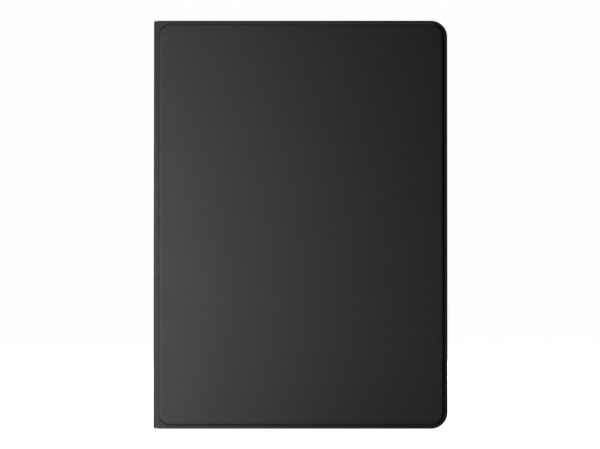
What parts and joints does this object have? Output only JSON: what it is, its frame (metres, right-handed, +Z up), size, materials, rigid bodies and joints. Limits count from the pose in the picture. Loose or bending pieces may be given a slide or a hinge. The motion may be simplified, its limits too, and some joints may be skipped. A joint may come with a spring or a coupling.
{
  "type": "tablet keyboard case",
  "caption": "Closed black folio case for a tablet: grained cover over a thin keyboard, folding spine, moulded tablet tray with camera window and a hinged kickstand let into the back.",
  "frame": {"origin": "middle of the bounding box at the lower short edge the closed case stands on", "axes": "+X from the spine to the opening edge, +Y from the front cover to the back of the case, +Z up along the spine"},
  "size_m": [0.18, 0.021, 0.25],
  "materials": {
    "leather": "fine grained black artificial leather, satin",
    "lining": "black brushed microfibre",
    "board": "grey pressed fibre board, hidden",
    "shell": "black moulded polycarbonate, fine texture",
    "deck": "black moulded plastic, fine texture",
    "key": "black keycap plastic, satin",
    "steel": "bright rolled steel",
    "magnet": "nickel-plated magnet",
    "membrane": "clear printed film",
    "silicone": "translucent silicone",
    "battery": "foil pouch",
    "circuit": "green solder mask",
    "rubber": "black moulded rubber, matt",
    "lens": "frosted clear plastic"
  },
  "bodies": {
    "tablet_half": {"tray_shell": "shell", "tray_lining": "lining", "back_skin": "leather", "back_board": "board", "camera_ring": "shell", "hinge_strip": "leather", "hinge_leaf_fixed_bottom": "steel", "hinge_leaf_fixed_top": "steel"},
    "kickstand": {"stand_skin": "leather", "stand_board": "board", "stand_lining": "lining", "stand_foot": "rubber", "hinge_leaf_moving_bottom": "steel", "hinge_leaf_moving_top": "steel", "hinge_pin_bottom": "steel", "hinge_pin_top": "steel"},
    "spine": {"spine_skin": "leather", "spine_board": "board", "spine_lining": "lining"},
    "front_cover": {"front_skin": "leather", "front_board": "board", "front_lining": "lining", "keyboard_base": "deck", "keyboard_deck": "deck", "support_plate": "steel", "switch_membrane": "membrane", "dome_sheet": "silicone", "battery_cell": "battery", "circuit_board": "circuit", "usb_socket": "steel", "status_lens": "lens", "closure_magnet_bottom": "magnet", "closure_magnet_top": "magnet", "screen_bumper_bottom": "rubber", "screen_bumper_top": "rubber"},
    "function_keys": {"function_keys": "key"},
    "number_keys": {"number_keys": "key"},
    "key_grave": {"key_grave": "key"},
    "key_backspace": {"key_backspace": "key"},
    "upper_letter_keys": {"upper_letter_keys": "key"},
    "key_tab": {"key_tab": "key"},
    "key_backslash": {"key_backslash": "key"},
    "middle_letter_keys": {"middle_letter_keys": "key"},
    "key_caps_lock": {"key_caps_lock": "key"},
    "key_enter": {"key_enter": "key"},
    "lower_letter_keys": {"lower_letter_keys": "key"},
    "key_shift_left": {"key_shift_left": "key"},
    "key_shift_right": {"key_shift_right": "key"},
    "key_globe": {"key_globe": "key"},
    "key_control": {"key_control": "key"},
    "key_option": {"key_option": "key"},
    "key_command_left": {"key_command_left": "key"},
    "key_space": {"key_space": "key"},
    "key_command_right": {"key_command_right": "key"},
    "key_arrow_left": {"key_arrow_left": "key"},
    "key_arrow_up": {"key_arrow_up": "key"},
    "key_arrow_down": {"key_arrow_down": "key"},
    "key_arrow_right": {"key_arrow_right": "key"},
    "touchpad": {"touchpad": "deck"},
    "power_knob": {"power_knob": "shell"}
  },
  "joints": [
    {"name": "fold_spine", "type": "hinge", "parent": "tablet_half", "child": "spine", "pos_m": [-0.088, 0.0096, 0.125], "axis": [0, 0, -1], "range_deg": [0, 180]},
    {"name": "fold_cover", "type": "hinge", "parent": "spine", "child": "front_cover", "pos_m": [-0.088, -0.0096, 0.125], "axis": [0, 0, -1], "range_deg": [0, 90]},
    {"name": "kickstand_swing", "type": "hinge", "parent": "tablet_half", "child": "kickstand", "pos_m": [0.002, 0.0093, 0.125], "axis": [0, 0, -1], "range_deg": [0, 120]},
    {"name": "press_function_keys", "type": "slide", "parent": "front_cover", "child": "function_keys", "axis": [0, -1, 0], "range_m": [0, 0.001], "stiffness_N_per_m": 300, "springref_m": -0.001},
    {"name": "press_number_keys", "type": "slide", "parent": "front_cover", "child": "number_keys", "axis": [0, -1, 0], "range_m": [0, 0.001], "stiffness_N_per_m": 300, "springref_m": -0.001},
    {"name": "press_grave", "type": "slide", "parent": "front_cover", "child": "key_grave", "axis": [0, -1, 0], "range_m": [0, 0.001], "stiffness_N_per_m": 300, "springref_m": -0.001},
    {"name": "press_backspace", "type": "slide", "parent": "front_cover", "child": "key_backspace", "axis": [0, -1, 0], "range_m": [0, 0.001], "stiffness_N_per_m": 300, "springref_m": -0.001},
    {"name": "press_upper_letter_keys", "type": "slide", "parent": "front_cover", "child": "upper_letter_keys", "axis": [0, -1, 0], "range_m": [0, 0.001], "stiffness_N_per_m": 300, "springref_m": -0.001},
    {"name": "press_tab", "type": "slide", "parent": "front_cover", "child": "key_tab", "axis": [0, -1, 0], "range_m": [0, 0.001], "stiffness_N_per_m": 300, "springref_m": -0.001},
    {"name": "press_backslash", "type": "slide", "parent": "front_cover", "child": "key_backslash", "axis": [0, -1, 0], "range_m": [0, 0.001], "stiffness_N_per_m": 300, "springref_m": -0.001},
    {"name": "press_middle_letter_keys", "type": "slide", "parent": "front_cover", "child": "middle_letter_keys", "axis": [0, -1, 0], "range_m": [0, 0.001], "stiffness_N_per_m": 300, "springref_m": -0.001},
    {"name": "press_caps_lock", "type": "slide", "parent": "front_cover", "child": "key_caps_lock", "axis": [0, -1, 0], "range_m": [0, 0.001], "stiffness_N_per_m": 300, "springref_m": -0.001},
    {"name": "press_enter", "type": "slide", "parent": "front_cover", "child": "key_enter", "axis": [0, -1, 0], "range_m": [0, 0.001], "stiffness_N_per_m": 300, "springref_m": -0.001},
    {"name": "press_lower_letter_keys", "type": "slide", "parent": "front_cover", "child": "lower_letter_keys", "axis": [0, -1, 0], "range_m": [0, 0.001], "stiffness_N_per_m": 300, "springref_m": -0.001},
    {"name": "press_shift_left", "type": "slide", "parent": "front_cover", "child": "key_shift_left", "axis": [0, -1, 0], "range_m": [0, 0.001], "stiffness_N_per_m": 300, "springref_m": -0.001},
    {"name": "press_shift_right", "type": "slide", "parent": "front_cover", "child": "key_shift_right", "axis": [0, -1, 0], "range_m": [0, 0.001], "stiffness_N_per_m": 300, "springref_m": -0.001},
    {"name": "press_globe", "type": "slide", "parent": "front_cover", "child": "key_globe", "axis": [0, -1, 0], "range_m": [0, 0.001], "stiffness_N_per_m": 300, "springref_m": -0.001},
    {"name": "press_control", "type": "slide", "parent": "front_cover", "child": "key_control", "axis": [0, -1, 0], "range_m": [0, 0.001], "stiffness_N_per_m": 300, "springref_m": -0.001},
    {"name": "press_option", "type": "slide", "parent": "front_cover", "child": "key_option", "axis": [0, -1, 0], "range_m": [0, 0.001], "stiffness_N_per_m": 300, "springref_m": -0.001},
    {"name": "press_command_left", "type": "slide", "parent": "front_cover", "child": "key_command_left", "axis": [0, -1, 0], "range_m": [0, 0.001], "stiffness_N_per_m": 300, "springref_m": -0.001},
    {"name": "press_space", "type": "slide", "parent": "front_cover", "child": "key_space", "axis": [0, -1, 0], "range_m": [0, 0.001], "stiffness_N_per_m": 300, "springref_m": -0.001},
    {"name": "press_command_right", "type": "slide", "parent": "front_cover", "child": "key_command_right", "axis": [0, -1, 0], "range_m": [0, 0.001], "stiffness_N_per_m": 300, "springref_m": -0.001},
    {"name": "press_arrow_left", "type": "slide", "parent": "front_cover", "child": "key_arrow_left", "axis": [0, -1, 0], "range_m": [0, 0.001], "stiffness_N_per_m": 300, "springref_m": -0.001},
    {"name": "press_arrow_up", "type": "slide", "parent": "front_cover", "child": "key_arrow_up", "axis": [0, -1, 0], "range_m": [0, 0.001], "stiffness_N_per_m": 300, "springref_m": -0.001},
    {"name": "press_arrow_down", "type": "slide", "parent": "front_cover", "child": "key_arrow_down", "axis": [0, -1, 0], "range_m": [0, 0.001], "stiffness_N_per_m": 300, "springref_m": -0.001},
    {"name": "press_arrow_right", "type": "slide", "parent": "front_cover", "child": "key_arrow_right", "axis": [0, -1, 0], "range_m": [0, 0.001], "stiffness_N_per_m": 300, "springref_m": -0.001},
    {"name": "click_touchpad", "type": "slide", "parent": "front_cover", "child": "touchpad", "axis": [0, -1, 0], "range_m": [0, 0.0004], "stiffness_N_per_m": 1500, "springref_m": -0.0003},
    {"name": "power_slide", "type": "slide", "parent": "front_cover", "child": "power_knob", "axis": [1, 0, 0], "range_m": [0, 0.003]}
  ]
}
